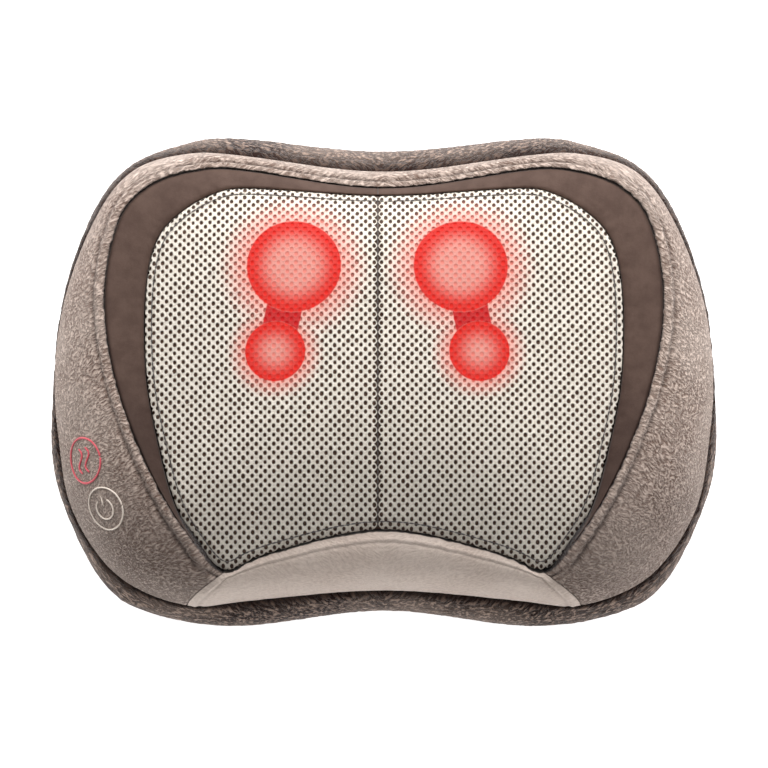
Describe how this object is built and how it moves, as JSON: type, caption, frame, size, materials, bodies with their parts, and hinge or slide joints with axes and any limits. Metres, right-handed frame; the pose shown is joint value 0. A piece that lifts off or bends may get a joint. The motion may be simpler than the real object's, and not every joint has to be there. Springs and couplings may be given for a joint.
{
  "type": "shiatsu neck massager",
  "caption": "Contoured plush massage pillow with two counter-rotating heads of lit red nodes under a spacer-mesh panel.",
  "frame": {"origin": "middle of the flat back, at the bottom centre of the bounding box", "axes": "+X to the right wing as seen from the massage face; +Y to the top edge; +Z out of the massage face"},
  "size_m": [0.4, 0.296, 0.1335],
  "materials": {
    "rear_plush": "short-pile plush, dark taupe",
    "front_plush": "short-pile plush, light taupe",
    "tricot": "smooth brown tricot",
    "spacer_mesh": "open cream spacer mesh",
    "foam": "open-cell polyurethane foam",
    "housing_plastic": "moulded ABS, fine texture",
    "gear_plastic": "natural acetal",
    "node_red": "soft satin red elastomer",
    "steel": "zinc plated",
    "copper": "enamelled winding",
    "bronze": "sintered bronze",
    "key_plastic": "moulded ABS",
    "board": "green solder mask",
    "lens_red": "clear red polycarbonate",
    "lead_jacket": "black PVC"
  },
  "bodies": {
    "root": {"rear_cover": "rear_plush", "bolster_cover": "front_plush", "yoke_cover": "front_plush", "gusset_band": "tricot", "mesh_panel_left": "spacer_mesh", "mesh_panel_right": "spacer_mesh", "rear_foam": "foam", "bolster_foam": "foam", "topper_foam": "foam", "housing_rear": "housing_plastic", "housing_front": "housing_plastic", "motor_end_cap": "housing_plastic", "motor_saddle": "housing_plastic", "worm_bearing_block": "housing_plastic", "key_pod": "housing_plastic", "dc_inlet": "housing_plastic", "housing_screw_1": "steel", "housing_screw_2": "steel", "housing_screw_3": "steel", "housing_screw_4": "steel", "motor_can": "steel", "motor_bracket": "steel", "worm_bush": "bronze", "control_board": "board", "key_board": "board", "inlet_lead": "lead_jacket", "head_post_left": "steel", "thrust_washer_left": "bronze", "lamp_board_left": "board", "lamp_lens_left": "lens_red", "head_post_right": "steel", "thrust_washer_right": "bronze", "lamp_board_right": "board", "lamp_lens_right": "lens_red"},
    "worm_drive": {"worm": "bronze", "motor_shaft": "steel", "armature": "copper"},
    "heat_button": {"heat_key": "key_plastic"},
    "power_button": {"power_key": "key_plastic"},
    "head_left": {"worm_wheel_left": "gear_plastic", "node_arm_left": "node_red", "arm_screw_left_1": "steel", "arm_screw_left_2": "steel", "large_pin_left": "steel", "small_pin_left": "steel"},
    "large_ball_left": {"large_node_left": "node_red", "large_spool_left": "gear_plastic"},
    "small_ball_left": {"small_node_left": "node_red", "small_spool_left": "gear_plastic"},
    "head_right": {"worm_wheel_right": "gear_plastic", "node_arm_right": "node_red", "arm_screw_right_1": "steel", "arm_screw_right_2": "steel", "large_pin_right": "steel", "small_pin_right": "steel"},
    "large_ball_right": {"large_node_right": "node_red", "large_spool_right": "gear_plastic"},
    "small_ball_right": {"small_node_right": "node_red", "small_spool_right": "gear_plastic"}
  },
  "joints": [
    {"name": "head_left_turn", "type": "hinge", "parent": "root", "child": "head_left", "pos_m": [-0.053, 0.032, 0.0355], "axis": [0, 0, 1], "continuous": true},
    {"name": "head_right_turn", "type": "hinge", "parent": "root", "child": "head_right", "pos_m": [0.053, 0.032, 0.0355], "axis": [0, 0, 1], "continuous": true},
    {"name": "worm_turn", "type": "hinge", "parent": "root", "child": "worm_drive", "pos_m": [0, 0.032, 0.0355], "axis": [0, 1, 0], "continuous": true},
    {"name": "large_node_left_spin", "type": "hinge", "parent": "head_left", "child": "large_ball_left", "pos_m": [-0.04853, 0.05303, 0.095], "axis": [0, 0, 1], "continuous": true},
    {"name": "large_node_right_spin", "type": "hinge", "parent": "head_right", "child": "large_ball_right", "pos_m": [0.04853, 0.05303, 0.095], "axis": [0, 0, 1], "continuous": true},
    {"name": "small_node_left_spin", "type": "hinge", "parent": "head_left", "child": "small_ball_left", "pos_m": [-0.05924, 0.00266, 0.099], "axis": [0, 0, 1], "continuous": true},
    {"name": "small_node_right_spin", "type": "hinge", "parent": "head_right", "child": "small_ball_right", "pos_m": [0.05924, 0.00266, 0.099], "axis": [0, 0, 1], "continuous": true},
    {"name": "heat_press", "type": "slide", "parent": "root", "child": "heat_button", "axis": [0.6633, 0.2909, -0.6894], "range_m": [0, 0.0015], "stiffness_N_per_m": 500, "springref_m": -0.0005},
    {"name": "power_press", "type": "slide", "parent": "root", "child": "power_button", "axis": [0.6633, 0.2909, -0.6894], "range_m": [0, 0.0015], "stiffness_N_per_m": 500, "springref_m": -0.0005}
  ],
  "couplings": [
    {"joint": "head_right_turn", "follows": "head_left_turn", "ratio": -1},
    {"joint": "worm_turn", "follows": "head_left_turn", "ratio": -40}
  ]
}
